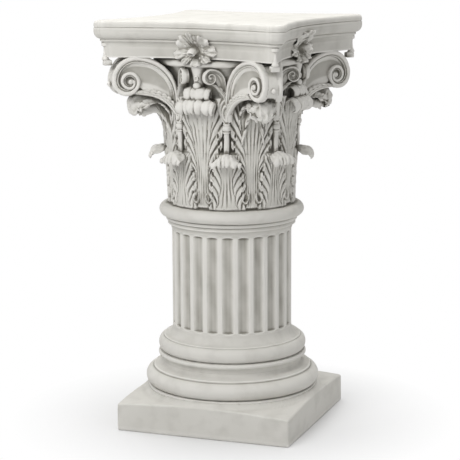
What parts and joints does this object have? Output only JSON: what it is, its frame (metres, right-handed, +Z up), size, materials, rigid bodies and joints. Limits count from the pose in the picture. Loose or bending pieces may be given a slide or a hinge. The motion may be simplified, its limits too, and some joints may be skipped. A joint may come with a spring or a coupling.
{
  "type": "corinthian column pedestal",
  "caption": "Short Corinthian column display pedestal: turned square plinth, moulded base, fluted shaft, acanthus leaf capital with corner scrolls, hollow-sided slab top.",
  "frame": {"origin": "centre of the plinth's flat underside, on the column's axis", "axes": "+Z up along the column's axis, +X and +Y towards two sides of the top slab; the plinth is turned about 6.5 degrees counter-clockwise from them, seen from above"},
  "size_m": [0.3088, 0.3088, 0.61],
  "materials": {
    "antique_stone": "matte"
  },
  "bodies": {
    "root": {"column": "antique_stone"}
  },
  "joints": []
}
